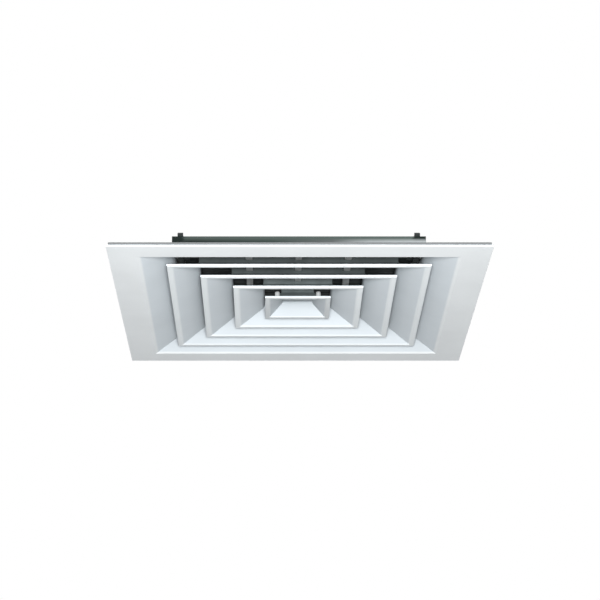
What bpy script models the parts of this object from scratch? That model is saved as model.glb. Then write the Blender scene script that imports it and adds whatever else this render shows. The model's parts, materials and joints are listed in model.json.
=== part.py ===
"""Square ceiling air outlet: a four-cone louvre face in a flanged frame, with an opposed-blade damper on the neck.

Units are metres. The outlet lies as it hangs: the face looks down, the duct is above. Z = 0 is the lowest
plane of the face, and the Z axis runs up through the middle of the neck. Near, right, far and left are the
sides at -Y, +X, +Y and -X. A profile is a list of (distance from the Z axis, height) points.
"""

import math

import bmesh
import bpy
from mathutils import Matrix, Vector

MM = 0.001

# Neck and frame
NECK_HALF = 149.0 * MM
FRAME_WALL = 1.4 * MM
FLANGE_REACH = 76.0 * MM
FLANGE_WIDTH = 33.1 * MM
FLANGE_RISE = 0.5 * MM
EDGE_HEIGHT = 2.2 * MM
REST_RING = 1.4 * MM
FRAME_SLOPE = math.radians(23)
FRAME_CURVE = 8.0 * MM
NECK_STRAIGHT = 9.0 * MM

# Louvre cones
CONE_COUNT = 4
LAST_CONE_HALF = 41.0 * MM
CONE_WALL = 1.3 * MM
CONE_OVERHANG = 9.0 * MM
CONE_SLOPE = math.radians(26)
CONE_CURVE = 5.0 * MM
COLLAR_HEIGHT = 5.6 * MM
COLLAR_OFFSET = 0.6 * MM
LAST_CONE_SLOPE = math.radians(40)
LAST_CONE_CURVE = 4.0 * MM
LAST_COLLAR_HALF = 19.0 * MM
LIP_WIDTH = 5.5 * MM
LIP_HEIGHT = 2.8 * MM
LIP_LIFT = 0.5 * MM
LIP_BEVEL = 0.6 * MM

# Straps, studs and centre plate of the core
STRAP_WIDTH = 8.0 * MM
STRAP_THICKNESS = 1.9 * MM
STRAP_BELOW_COLLAR = 0.9 * MM
STRAP_END_GAP = 0.8 * MM
STRAP_INSIDE_COLLAR = 20.6 * MM
STUD_RADIUS = 3.0 * MM
STUD_HEIGHT = 6.0 * MM
STUD_DOME = 1.2 * MM
STUD_FROM_LIP_END = 15.3 * MM
STUD_FROM_LIP = 10.0 * MM
PLATE_THICKNESS = 1.2 * MM
PLATE_HOLE_RADIUS = 2.4 * MM
PLATE_HOLE_X = -7.5 * MM

# Spring forks that hold the core's straps
FORK_THICKNESS = 1.1 * MM
FORK_LEG = 3.0 * MM
FORK_DROP = 3.0 * MM
FORK_TOP_BELOW_NECK = 1.2 * MM

# Corner keys and gasket on the back of the flange
KEY_LENGTH = 30.0 * MM
KEY_FROM_GASKET = 2.9 * MM
KEY_THICKNESS = 1.5 * MM
KEY_FROM_RING = 3.0 * MM
GASKET_WIDTH = 12.0 * MM
GASKET_THICKNESS = 4.5 * MM
GASKET_FROM_EDGE = 2.2 * MM

# Damper
BLADE_COUNT = 12
BLADE_END_ROOM = 3.3 * MM
BLADE_OVERLAP = 0.8 * MM
BLADE_WALL = 1.4 * MM
BLADE_STEP = 1.0 * MM
BLADE_STEP_WIDTH = 3.6 * MM
BLADE_STEP_RUN = 1.2 * MM
BLADE_HUB = 1.9 * MM
BLADE_OVER_COLLAR = 0.7 * MM
GEAR_TEETH = 11
GEAR_WIDTH = 6.5 * MM
GEAR_ADDENDUM = 0.8
GEAR_DEDENDUM = 1.05
GEAR_BACKLASH = 0.5 * MM
GEAR_PRESSURE = math.radians(20)
GEAR_SIDE_GAP = 0.9 * MM
BLADE_END_GAP = 0.6 * MM
BOSS_RADIUS = 4.5 * MM
BOSS_LENGTH = 6.0 * MM
PIN_RADIUS = 1.4 * MM
PIN_HOLE_GAP = 0.3 * MM
PIN_PAST_WALL = 1.3 * MM
TAB_LENGTH = 10.0 * MM
TAB_WIDTH = 8.0 * MM
TAB_THICKNESS = 2.0 * MM
RAIL_INNER_GAP = 0.3 * MM
RAIL_INNER_WALL = 1.4 * MM
RAIL_OUTER_WALL = 1.7 * MM
RAIL_SKIRT = 7.8 * MM
RAIL_RIB = 1.5 * MM
RAIL_PIVOT_HEIGHT = 5.3 * MM
RAIL_OVER_PIVOT = 3.0 * MM
RAIL_OUTER_OVER_PIVOT = 2.1 * MM

# Damper screws
SCREW_RADIUS = 1.6 * MM
SCREW_HEAD_RADIUS = 3.2 * MM
SCREW_HEAD_HEIGHT = 1.7 * MM
SCREW_FROM_CORNER = 49.0 * MM
SCREW_BELOW_RIB = 4.4 * MM
SCREW_HOLE_GAP = 0.4 * MM

# Fits
SEAT = 0.3 * MM
MITRE_GAP = 0.15 * MM
ARC_STEPS = 4
ROUND_STEPS = 12
SMOOTH_BELOW = math.radians(32)

SIDES = ("near", "right", "far", "left")


# Sizes worked out from the driving ones

FACE_HALF = NECK_HALF + FLANGE_REACH
FLANGE_INNER = FACE_HALF - FLANGE_WIDTH - REST_RING
GASKET_OUTER = FACE_HALF - GASKET_FROM_EDGE
GASKET_INNER = GASKET_OUTER - GASKET_WIDTH
RAIL_INNER_FACE = NECK_HALF - RAIL_INNER_GAP - RAIL_INNER_WALL
RAIL_OUTER_FACE = NECK_HALF + FRAME_WALL + SEAT + RAIL_OUTER_WALL
SCREW_FROM_MIDDLE = NECK_HALF - SCREW_FROM_CORNER
CONE_PITCH = (NECK_HALF + CONE_OVERHANG - LAST_CONE_HALF) / (CONE_COUNT - 1)


def cone_lip(number):
    """Half-width of a cone over its lip. Cone 1 is the largest."""
    return NECK_HALF + CONE_OVERHANG - (number - 1) * CONE_PITCH


def bend_foot(start, slope, end_u, radius):
    """Where a slope from start meets the curve that turns it up to a vertical wall at end_u."""
    run = start[0] - end_u - radius * (1 - math.sin(slope))
    return start[0] - run, start[1] + run * math.tan(slope)


def bend_top(start, slope, end_u, radius):
    """Height at which the curve ends and the vertical wall begins."""
    return bend_foot(start, slope, end_u, radius)[1] + radius * math.cos(slope)


def bend(start, slope, end_u, radius, top):
    """Points from start up a slope, round a curve and up a vertical wall at end_u to its top."""
    foot_u, foot_z = bend_foot(start, slope, end_u, radius)
    points = [start]
    for step in range(ARC_STEPS + 1):
        angle = slope + (math.pi / 2 - slope) * step / ARC_STEPS
        u = foot_u - radius * (math.sin(angle) - math.sin(slope))
        z = foot_z + radius * (math.cos(slope) - math.cos(angle))
        points.append((u, z))
    points.append((end_u, top))
    return points


def collar_half(number):
    """Half-width inside a cone's collar. It stands over the lip of the next cone, if there is one."""
    if number == CONE_COUNT:
        return LAST_COLLAR_HALF
    return cone_lip(number + 1) + COLLAR_OFFSET


def lip_inside(number):
    return cone_lip(number) - LIP_WIDTH, LIP_LIFT


def cone_curve(number):
    """Slope of a cone and radius of the curve above it. The last cone is steeper."""
    if number == CONE_COUNT:
        return LAST_CONE_SLOPE, LAST_CONE_CURVE
    return CONE_SLOPE, CONE_CURVE


def curve_top(number):
    slope, radius = cone_curve(number)
    return bend_top(lip_inside(number), slope, collar_half(number), radius)


def cone_bend(number):
    """The visible side of a cone, from the inside of its lip to the top of its collar."""
    slope, radius = cone_curve(number)
    return bend(lip_inside(number), slope, collar_half(number), radius, COLLAR_TOP)


# All the collars end at one height, above the highest curve.
COLLAR_TOP = max(curve_top(number) for number in range(1, CONE_COUNT + 1)) + COLLAR_HEIGHT
STRAP_TOP = COLLAR_TOP - STRAP_BELOW_COLLAR
STRAP_BOTTOM = STRAP_TOP - STRAP_THICKNESS
STRAP_X = collar_half(2) - STRAP_INSIDE_COLLAR
STRAPS = {"left": -STRAP_X, "middle": 0.0, "right": STRAP_X}

DRIVEN_BLADE = BLADE_COUNT // 2
BLADE_PITCH = 2 * (RAIL_INNER_FACE - BLADE_END_ROOM) / BLADE_COUNT
BLADE_HALF = (BLADE_PITCH + BLADE_OVERLAP) / 2
BLADE_SWEEP = math.hypot(BLADE_HALF, BLADE_STEP + BLADE_WALL / 2)

# The blades turn clear of the collars, and the neck stands straight above the frame's curve.
PIVOT_OVER_COLLAR = COLLAR_TOP + BLADE_OVER_COLLAR + BLADE_SWEEP
NECK_CURVE_TOP = bend_top((FLANGE_INNER, 0.0), FRAME_SLOPE, NECK_HALF, FRAME_CURVE)
PIVOT_Z = max(PIVOT_OVER_COLLAR, NECK_CURVE_TOP + NECK_STRAIGHT + SEAT + RAIL_PIVOT_HEIGHT)
NECK_TOP = PIVOT_Z - RAIL_PIVOT_HEIGHT - SEAT
RAIL_BASE = NECK_TOP + SEAT
RAIL_TOP = PIVOT_Z + RAIL_OUTER_OVER_PIVOT
RAIL_WALL_TOP = PIVOT_Z + RAIL_OVER_PIVOT
GEAR_OUTER_FACE = RAIL_INNER_FACE - GEAR_SIDE_GAP
PIN_END = RAIL_INNER_FACE + RAIL_INNER_WALL + PIN_PAST_WALL


# Scene, materials and small helpers

def clear_scene():
    for obj in list(bpy.data.objects):
        bpy.data.objects.remove(obj, do_unlink=True)


def new_collection(name):
    collection = bpy.data.collections.new(name)
    bpy.context.scene.collection.children.link(collection)
    return collection


def new_material(name, colour, roughness, metallic=0.0):
    material = bpy.data.materials.new(name)
    material.use_nodes = True
    shader = material.node_tree.nodes["Principled BSDF"]
    shader.inputs["Base Color"].default_value = (*colour, 1.0)
    shader.inputs["Roughness"].default_value = roughness
    shader.inputs["Metallic"].default_value = metallic
    return material


def to_object(bm, name, collection, material=None, parent=None):
    """Turns a finished bmesh into an object whose curved faces are shaded smooth."""
    bmesh.ops.recalc_face_normals(bm, faces=bm.faces)
    mesh = bpy.data.meshes.new(name)
    bm.to_mesh(mesh)
    bm.free()
    mesh.shade_smooth()
    mesh.set_sharp_from_angle(angle=SMOOTH_BELOW)
    if material:
        mesh.materials.append(material)
    obj = bpy.data.objects.new(name, mesh)
    collection.objects.link(obj)
    obj.parent = parent
    return obj


def to_cutter(bm, name):
    cutter = to_object(bm, name, CUTTERS)
    cutter.hide_render = True
    cutter.display_type = "WIRE"
    return cutter


def combine(obj, tool, operation, name):
    modifier = obj.modifiers.new(name, "BOOLEAN")
    modifier.operation = operation
    modifier.solver = "EXACT"
    modifier.object = tool


def add_box(bm, low, high):
    size = [b - a for a, b in zip(low, high)]
    middle = [(a + b) / 2 for a, b in zip(low, high)]
    matrix = Matrix.Translation(middle) @ Matrix.Diagonal((*size, 1.0))
    bmesh.ops.create_cube(bm, size=1.0, matrix=matrix)


def add_rod(bm, radius, start, end, segments=ROUND_STEPS):
    """A closed cylinder between two points."""
    start = Vector(start)
    axis = Vector(end) - start
    turn = axis.to_track_quat("Z", "Y").to_matrix().to_4x4()
    matrix = Matrix.Translation(start + axis / 2) @ turn
    bmesh.ops.create_cone(
        bm, cap_ends=True, segments=segments, radius1=radius, radius2=radius, depth=axis.length, matrix=matrix
    )


def extrude_outline(bm, outline, direction):
    """Extrudes a closed outline of 3-D points by a vector."""
    face = bm.faces.new([bm.verts.new(point) for point in outline])
    made = bmesh.ops.extrude_face_region(bm, geom=[face])
    bmesh.ops.translate(bm, verts=[v for v in made["geom"] if isinstance(v, bmesh.types.BMVert)], vec=direction)


def walled(visible, wall):
    """Closes a profile: the visible side of a sheet, then its back, one wall away."""
    normals = []
    for (u0, z0), (u1, z1) in zip(visible, visible[1:]):
        length = math.hypot(u1 - u0, z1 - z0)
        normals.append(((z1 - z0) / length, (u0 - u1) / length))
    back = []
    for index, (u, z) in enumerate(visible):
        before = normals[max(index - 1, 0)]
        after = normals[min(index, len(normals) - 1)]
        share = wall / (1 + before[0] * after[0] + before[1] * after[1])
        back.append((u + share * (before[0] + after[0]), z + share * (before[1] + after[1])))
    return visible + back[::-1]


def mitred_side(name, profile, turn, material, parent):
    """One side of a square frame: the profile drawn along X, with both ends cut on the diagonals."""
    bm = bmesh.new()
    face = bm.faces.new([bm.verts.new((MITRE_GAP - u, -u, z)) for u, z in profile])
    made = bmesh.ops.extrude_face_region(bm, geom=[face])
    for vert in made["geom"]:
        if isinstance(vert, bmesh.types.BMVert):
            vert.co.x = -vert.co.x
    obj = to_object(bm, name, PARTS, material, parent)
    obj.rotation_euler.z = turn * math.pi / 2
    return obj


def add_empty(name, parent=None):
    empty = bpy.data.objects.new(name, None)
    PARTS.objects.link(empty)
    empty.parent = parent
    return empty


# Frame

def frame_profile():
    flange_outer = (FACE_HALF, FLANGE_RISE)
    edge_top = (FACE_HALF, FLANGE_RISE + EDGE_HEIGHT)
    ring_outer = (FLANGE_INNER + REST_RING, 0.0)
    slope = bend((FLANGE_INNER, 0.0), FRAME_SLOPE, NECK_HALF, FRAME_CURVE, NECK_TOP)
    return walled([edge_top, flange_outer, ring_outer, *slope], FRAME_WALL)


def flange_back(u):
    """Height of the back of the flange at a distance from the axis."""
    tilt = math.atan2(FLANGE_RISE, FLANGE_WIDTH)
    return (u - FLANGE_INNER - REST_RING) * math.tan(tilt) + FRAME_WALL / math.cos(tilt)


def screw_height():
    return RAIL_BASE - SCREW_BELOW_RIB


def add_screw_holes(bm, start_u, end_u):
    for y in (-SCREW_FROM_MIDDLE, SCREW_FROM_MIDDLE):
        start = (y, -start_u, screw_height())
        end = (y, -end_u, screw_height())
        add_rod(bm, SCREW_RADIUS + SCREW_HOLE_GAP, start, end)


def make_frame(parent):
    for turn, side in enumerate(SIDES):
        rail = mitred_side(f"frame_rail_{side}", frame_profile(), turn, WHITE, parent)
        if side in ("left", "right"):
            bm = bmesh.new()
            add_screw_holes(bm, NECK_HALF - FRAME_WALL, NECK_HALF + 2 * FRAME_WALL)
            holes = to_cutter(bm, f"frame_screw_holes_{side}")
            holes.rotation_euler.z = turn * math.pi / 2
            combine(rail, holes, "DIFFERENCE", "screw holes")


def make_corner_keys(parent):
    """L plates on the back of the flange, one over each mitre."""
    inner = FLANGE_INNER + REST_RING + KEY_FROM_RING
    outer = GASKET_INNER - KEY_FROM_GASKET
    end = outer - KEY_LENGTH
    low = flange_back(outer) + SEAT
    outline = [(end, outer), (outer, outer), (outer, end), (inner, end), (inner, inner), (end, inner)]
    for turn, corner in enumerate(("far_right", "far_left", "near_left", "near_right")):
        bm = bmesh.new()
        extrude_outline(bm, [(x, y, low) for x, y in outline], (0, 0, KEY_THICKNESS))
        key = to_object(bm, f"corner_key_{corner}", PARTS, STEEL, parent)
        key.rotation_euler.z = turn * math.pi / 2


def make_gasket(parent):
    """A square foam ring on the back of the flange, near the outer edge."""
    outer = GASKET_OUTER
    inner = GASKET_INNER
    low = flange_back(outer) + SEAT
    bm = bmesh.new()
    add_box(bm, (-outer, -outer, low), (outer, outer, low + GASKET_THICKNESS))
    gasket = to_object(bm, "gasket", PARTS, FOAM, parent)
    bm = bmesh.new()
    past = GASKET_THICKNESS
    add_box(bm, (-inner, -inner, low - past), (inner, inner, low + GASKET_THICKNESS + past))
    combine(gasket, to_cutter(bm, "gasket_opening"), "DIFFERENCE", "opening")


def make_forks(parent):
    """Spring forks on the neck: each is a plate with a slot that is open below, round one end of a strap."""
    face = NECK_HALF - SEAT
    slot_half = STRAP_WIDTH / 2 + SEAT
    half = slot_half + FORK_LEG
    top = NECK_TOP - FORK_TOP_BELOW_NECK
    slot_top = STRAP_TOP + SEAT
    foot = STRAP_BOTTOM - FORK_DROP
    outline = [
        (-half, foot), (-half, top), (half, top), (half, foot),
        (slot_half, foot), (slot_half, slot_top), (-slot_half, slot_top), (-slot_half, foot),
    ]
    for turn, side in ((0, "near"), (2, "far")):
        for x, hand in ((-STRAP_X, "left"), (STRAP_X, "right")):
            bm = bmesh.new()
            extrude_outline(bm, [(dx, 0.0, z) for dx, z in outline], (0, FORK_THICKNESS, 0))
            fork = to_object(bm, f"core_fork_{side}_{hand}", PARTS, STEEL, parent)
            y = -face if side == "near" else face - FORK_THICKNESS
            fork.location = (x, y, 0)


# Core: four nested cones on three straps

def cone_profile(number):
    lip = cone_lip(number)
    slope = cone_curve(number)[0]
    sheet = walled(cone_bend(number), CONE_WALL)
    lip_top = LIP_LIFT + LIP_HEIGHT
    back_rise = LIP_HEIGHT - CONE_WALL / math.cos(slope)
    back_start = (sheet[0][0] - back_rise / math.tan(slope), lip_top)
    under = [(lip, lip_top), (lip, LIP_LIFT + LIP_BEVEL), (lip - LIP_BEVEL, LIP_LIFT)]
    return under + sheet[:-1] + [back_start]


def make_cones(parent):
    for number in range(1, CONE_COUNT + 1):
        for turn, side in enumerate(SIDES):
            cone = mitred_side(f"cone_{number}_{side}", cone_profile(number), turn, WHITE, parent)
            if side in ("near", "far"):
                combine(cone, strap_notches(number, turn), "DIFFERENCE", "strap notches")


def strap_notches(number, turn):
    """Open-topped notches in a collar, where the straps pass that are inside its width."""
    half = STRAP_WIDTH / 2 + SEAT
    inner = collar_half(number) - 2 * CONE_WALL
    outer = collar_half(number) + 3 * CONE_WALL
    bm = bmesh.new()
    for x in STRAPS.values():
        if abs(x) + half < collar_half(number):
            add_box(bm, (x - half, -outer, STRAP_BOTTOM - SEAT), (x + half, -inner, COLLAR_TOP + CONE_WALL))
    cutter = to_cutter(bm, f"strap_notches_{number}_{SIDES[turn]}")
    cutter.rotation_euler.z = turn * math.pi / 2
    return cutter


def make_straps(parent):
    end = NECK_HALF - STRAP_END_GAP
    for hand, x in STRAPS.items():
        bm = bmesh.new()
        half = STRAP_WIDTH / 2
        add_box(bm, (x - half, -end, STRAP_BOTTOM), (x + half, end, STRAP_TOP))
        to_object(bm, f"core_strap_{hand}", PARTS, ALUMINIUM, parent)


def make_studs(parent):
    """Domed studs on the back of the last cone, with feet cut to its slope."""
    lip = cone_lip(CONE_COUNT)
    x = lip - STUD_FROM_LIP_END
    y = lip - STUD_FROM_LIP
    foot = LIP_LIFT + (STUD_FROM_LIP - LIP_WIDTH) * math.tan(LAST_CONE_SLOPE)
    foot += (CONE_WALL + SEAT) / math.cos(LAST_CONE_SLOPE)
    neck = foot + STUD_HEIGHT - STUD_DOME
    for y_sign, side in ((-1, "near"), (1, "far")):
        for x_sign, hand in ((-1, "left"), (1, "right")):
            bm = bmesh.new()
            add_rod(bm, STUD_RADIUS, (0, 0, 0), (0, 0, neck), 20)
            add_dome(bm)
            normal = Vector((0, y_sign * math.sin(LAST_CONE_SLOPE), math.cos(LAST_CONE_SLOPE)))
            cut = bmesh.ops.bisect_plane(
                bm, geom=bm.verts[:] + bm.edges[:] + bm.faces[:], plane_co=(0, 0, foot),
                plane_no=-normal, clear_outer=True,
            )
            rim = [item for item in cut["geom_cut"] if isinstance(item, bmesh.types.BMEdge)]
            bmesh.ops.contextual_create(bm, geom=rim)
            stud = to_object(bm, f"core_stud_{side}_{hand}", PARTS, ALUMINIUM, parent)
            stud.location = (x_sign * x, y_sign * y, 0)


def add_dome(bm):
    """Rounds the top of a stud by insetting and lifting its end face twice."""
    top = max(bm.faces, key=lambda face: face.calc_center_median().z)
    for width, lift in ((0.2, 0.6), (0.4, 0.4)):
        bmesh.ops.inset_individual(bm, faces=[top], thickness=width * STUD_RADIUS, depth=lift * STUD_DOME)


def make_centre_plate(parent):
    half = collar_half(CONE_COUNT) - SEAT
    top = curve_top(CONE_COUNT) + PLATE_THICKNESS
    bm = bmesh.new()
    add_box(bm, (-half, -half, top - PLATE_THICKNESS), (half, half, top))
    plate = to_object(bm, "centre_plate", PARTS, WHITE, parent)
    bm = bmesh.new()
    driven_y = blade_places()[DRIVEN_BLADE]
    low = (PLATE_HOLE_X, driven_y, top - 2 * PLATE_THICKNESS)
    high = (PLATE_HOLE_X, driven_y, top + PLATE_THICKNESS)
    add_rod(bm, PLATE_HOLE_RADIUS, low, high, 24)
    combine(plate, to_cutter(bm, "damper_key_hole"), "DIFFERENCE", "key hole")


# Damper

def blade_places():
    """Y of each blade's axis, near side first."""
    first = -BLADE_PITCH * (BLADE_COUNT - 1) / 2
    return [first + BLADE_PITCH * index for index in range(BLADE_COUNT)]


def rail_profile():
    """An H section: a skirt outside the neck, a rib on its top and a wall that carries the blades."""
    skirt_inner = RAIL_OUTER_FACE - RAIL_OUTER_WALL
    wall_outer = RAIL_INNER_FACE + RAIL_INNER_WALL
    rib_top = RAIL_BASE + RAIL_RIB
    return [
        (RAIL_OUTER_FACE, RAIL_BASE - RAIL_SKIRT),
        (skirt_inner, RAIL_BASE - RAIL_SKIRT),
        (skirt_inner, RAIL_BASE),
        (RAIL_INNER_FACE, RAIL_BASE),
        (RAIL_INNER_FACE, RAIL_WALL_TOP),
        (wall_outer, RAIL_WALL_TOP),
        (wall_outer, rib_top),
        (skirt_inner, rib_top),
        (skirt_inner, RAIL_TOP),
        (RAIL_OUTER_FACE, RAIL_TOP),
    ]


def make_rails(parent):
    for turn, side in enumerate(SIDES):
        rail = mitred_side(f"damper_rail_{side}", rail_profile(), turn, ALUMINIUM, parent)
        if side in ("near", "far"):
            continue
        bm = bmesh.new()
        past = RAIL_INNER_WALL / 2
        for y in blade_places():
            start = (y, past - RAIL_INNER_FACE, PIVOT_Z)
            end = (y, -RAIL_INNER_FACE - RAIL_INNER_WALL - past, PIVOT_Z)
            add_rod(bm, PIN_RADIUS + PIN_HOLE_GAP, start, end)
        skirt_inner = RAIL_OUTER_FACE - RAIL_OUTER_WALL
        add_screw_holes(bm, skirt_inner - SEAT / 2, RAIL_OUTER_FACE + RAIL_OUTER_WALL)
        holes = to_cutter(bm, f"rail_holes_{side}")
        holes.rotation_euler.z = turn * math.pi / 2
        combine(rail, holes, "DIFFERENCE", "pin and screw holes")


def make_screws(parent):
    """Screws through the damper's skirt and the neck, turned about their own axes."""
    under_head = RAIL_OUTER_FACE + SEAT
    tip = NECK_HALF - FRAME_WALL
    length = under_head - tip
    profile = [
        (0, SCREW_HEAD_HEIGHT),
        (SCREW_HEAD_RADIUS * 0.6, SCREW_HEAD_HEIGHT),
        (SCREW_HEAD_RADIUS, SCREW_HEAD_HEIGHT * 0.5),
        (SCREW_HEAD_RADIUS, 0),
        (SCREW_RADIUS, 0),
        (SCREW_RADIUS, SCREW_RADIUS - length),
        (0, -length),
    ]
    mesh = bpy.data.meshes.new("damper_screw")
    edges = [(index, index + 1) for index in range(len(profile) - 1)]
    mesh.from_pydata([(r, 0, z) for r, z in profile], edges, [])
    mesh.materials.append(STEEL)
    for x_sign, hand in ((-1, "left"), (1, "right")):
        for y, side in ((-SCREW_FROM_MIDDLE, "near"), (SCREW_FROM_MIDDLE, "far")):
            screw = bpy.data.objects.new(f"damper_screw_{hand}_{side}", mesh)
            PARTS.objects.link(screw)
            screw.parent = parent
            screw.location = (x_sign * under_head, y, screw_height())
            screw.rotation_euler.y = x_sign * math.pi / 2
            turned = screw.modifiers.new("turned", "SCREW")
            turned.steps = ROUND_STEPS
            turned.render_steps = ROUND_STEPS
            turned.use_merge_vertices = True
            turned.merge_threshold = 0.00001
            turned.use_smooth_shade = False


def gear_outline():
    """Involute teeth, with one tooth pointing along +Y, as (y, z) points."""
    pitch_radius = BLADE_PITCH / 2
    module = BLADE_PITCH / GEAR_TEETH
    base_radius = pitch_radius * math.cos(GEAR_PRESSURE)
    tip_radius = pitch_radius + GEAR_ADDENDUM * module
    root_radius = pitch_radius - GEAR_DEDENDUM * module

    def half_angle(radius):
        pressure = math.acos(min(1.0, base_radius / radius))
        at_pitch = math.pi / (2 * GEAR_TEETH) - GEAR_BACKLASH / (2 * pitch_radius)
        return at_pitch + math.tan(GEAR_PRESSURE) - GEAR_PRESSURE - math.tan(pressure) + pressure

    points = []
    for tooth in range(GEAR_TEETH):
        middle = 2 * math.pi * tooth / GEAR_TEETH
        root_half = half_angle(root_radius)
        tip_half = half_angle(tip_radius)
        for radius, angle in (
            (root_radius, middle - root_half),
            (tip_radius, middle - tip_half),
            (tip_radius, middle + tip_half),
            (root_radius, middle + root_half),
        ):
            points.append((radius * math.cos(angle), radius * math.sin(angle)))
    return points


def blade_outline():
    """Section of a blade: a flat plate with a hub, its edges stepped up and down to lap over the next blade."""
    half_wall = BLADE_WALL / 2
    step_in = BLADE_HALF - BLADE_STEP_WIDTH
    step_out = step_in - BLADE_STEP_RUN
    hub = BLADE_HUB
    half = [
        (BLADE_HALF, -BLADE_STEP - half_wall),
        (BLADE_HALF, -BLADE_STEP + half_wall),
        (step_in, -BLADE_STEP + half_wall),
        (step_out, half_wall),
        (1.5 * hub, half_wall),
        (0.7 * hub, hub),
        (-0.7 * hub, hub),
        (-1.5 * hub, half_wall),
        (-step_out, half_wall),
        (-step_in, BLADE_STEP + half_wall),
    ]
    return half + [(-y, -z) for y, z in half]


def blade_mesh():
    """A moulded blade in one body: its plate, a gear and a boss at each end, and the shaft that makes both pins."""
    inner_face = GEAR_OUTER_FACE - GEAR_WIDTH
    reach = inner_face - BLADE_END_GAP
    bm = bmesh.new()
    extrude_outline(bm, [(-reach, y, z) for y, z in blade_outline()], (2 * reach, 0, 0))
    blade = to_object(bm, "blade_pattern", CUTTERS)
    bm = bmesh.new()
    for start in (-GEAR_OUTER_FACE, inner_face):
        extrude_outline(bm, [(start, y, z) for y, z in gear_outline()], (GEAR_WIDTH, 0, 0))
    combine(blade, to_cutter(bm, "blade_gears"), "UNION", "gears")
    bm = bmesh.new()
    for sign in (-1, 1):
        start = (sign * (reach - BOSS_LENGTH), 0, 0)
        add_rod(bm, BOSS_RADIUS, start, (sign * (inner_face + GEAR_WIDTH / 2), 0, 0))
    combine(blade, to_cutter(bm, "blade_bosses"), "UNION", "bosses")
    bm = bmesh.new()
    add_rod(bm, PIN_RADIUS, (-PIN_END, 0, 0), (PIN_END, 0, 0))
    combine(blade, to_cutter(bm, "blade_shaft"), "UNION", "shaft")
    bpy.context.view_layer.update()
    evaluated = blade.evaluated_get(bpy.context.evaluated_depsgraph_get())
    mesh = bpy.data.meshes.new_from_object(evaluated)
    mesh.name = "damper_blade"
    mesh.shade_smooth()
    mesh.set_sharp_from_angle(angle=SMOOTH_BELOW)
    mesh.materials.clear()
    mesh.materials.append(BLACK)
    for name in ("blade_pattern", "blade_gears", "blade_bosses", "blade_shaft"):
        bpy.data.objects.remove(bpy.data.objects[name], do_unlink=True)
    return mesh


def make_blades(parent):
    mesh = blade_mesh()
    for index, y in enumerate(blade_places()):
        blade = bpy.data.objects.new(f"damper_blade_{index + 1}", mesh)
        PARTS.objects.link(blade)
        blade.parent = parent
        blade.location = (0, y, PIVOT_Z)
        if index == DRIVEN_BLADE:
            bm = bmesh.new()
            half = TAB_THICKNESS / 2
            low = (PLATE_HOLE_X - TAB_WIDTH / 2, -half, -TAB_LENGTH)
            add_box(bm, low, (PLATE_HOLE_X + TAB_WIDTH / 2, half, 0))
            tab = to_cutter(bm, "driving_tab")
            tab.location = (0, y, PIVOT_Z)
            combine(blade, tab, "UNION", "driving tab")


clear_scene()
PARTS = new_collection("square_ceiling_air_outlet")
CUTTERS = new_collection("cutters")
WHITE = new_material("white_paint", (0.84, 0.87, 0.88), 0.38)
ALUMINIUM = new_material("mill_aluminium", (0.62, 0.63, 0.63), 0.36, 1.0)
STEEL = new_material("zinc_steel", (0.55, 0.56, 0.57), 0.4, 1.0)
BLACK = new_material("black_plastic", (0.03, 0.035, 0.035), 0.45)
FOAM = new_material("grey_foam", (0.3, 0.31, 0.32), 0.9)

frame = add_empty("frame")
core = add_empty("core", frame)
make_frame(frame)
make_corner_keys(frame)
make_gasket(frame)
make_forks(frame)
make_rails(frame)
make_screws(frame)
make_cones(core)
make_straps(core)
make_studs(core)
make_centre_plate(core)
make_blades(frame)
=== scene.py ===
"""Finishes for a square ceiling air outlet, with a plain stage round it.

Every part gets a copy with rounded edges and a procedural finish, the damper's screws a
cross recess and the corner keys their rivets.
"""

import json
import math

import bmesh
import bpy
from mathutils import Matrix, Vector


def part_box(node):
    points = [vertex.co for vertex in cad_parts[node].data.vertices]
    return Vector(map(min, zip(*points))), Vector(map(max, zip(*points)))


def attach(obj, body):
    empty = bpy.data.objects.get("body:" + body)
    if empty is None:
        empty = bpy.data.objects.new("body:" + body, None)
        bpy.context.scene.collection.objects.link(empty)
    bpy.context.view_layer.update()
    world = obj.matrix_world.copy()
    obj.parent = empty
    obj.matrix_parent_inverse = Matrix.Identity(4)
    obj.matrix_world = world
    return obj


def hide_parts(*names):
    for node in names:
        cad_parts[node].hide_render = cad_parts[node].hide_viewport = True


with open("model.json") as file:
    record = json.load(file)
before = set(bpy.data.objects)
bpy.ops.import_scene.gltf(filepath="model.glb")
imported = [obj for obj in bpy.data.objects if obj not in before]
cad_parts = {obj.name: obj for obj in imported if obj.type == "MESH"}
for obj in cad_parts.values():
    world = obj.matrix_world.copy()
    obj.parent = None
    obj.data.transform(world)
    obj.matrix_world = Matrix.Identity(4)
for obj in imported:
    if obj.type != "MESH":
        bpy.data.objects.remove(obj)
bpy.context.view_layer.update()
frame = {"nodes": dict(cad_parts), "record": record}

bl_info = {
    "name": "Square Air Outlet Finishes",
    "version": (1, 0, 0),
    "blender": (4, 5, 0),
    "location": "3D View > Sidebar > Outlet",
    "description": "Finishes, small fasteners and a stage for a square ceiling air outlet",
    "category": "Object",
}

NODES = frame["nodes"]
BODY_OF = {
    node: body for body, names in frame["record"]["behaviour"]["bodies"].items() for node in names
}

# Rounding. Lengths here and below are in metres.
MERGE_REACH = 0.000002  # points nearer than this become one
FLAT_WITHIN = math.radians(1.0)  # faces that meet at less than this become one
ROUND_ABOVE = math.radians(18)  # edges sharper than this are rounded
ROUND_STEPS = 2
SMOOTH_BELOW = math.radians(40)  # edges up to this are shaded smooth

# Finishes
SHADE_HEIGHT = 0.020  # height over the face at which the painted shade is deepest
FINE_RELIEF = 0.00002  # height of drawn lines and of the grain in the painted back shade
PLASTIC_RELIEF = 0.00003
FOAM_RELIEF = 0.0002
TOP_BAND_START = 0.0085  # depth under the near rail's top at which its top band starts
TOP_BAND_FULL = 0.0035  # depth at which the top band covers everything
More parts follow.
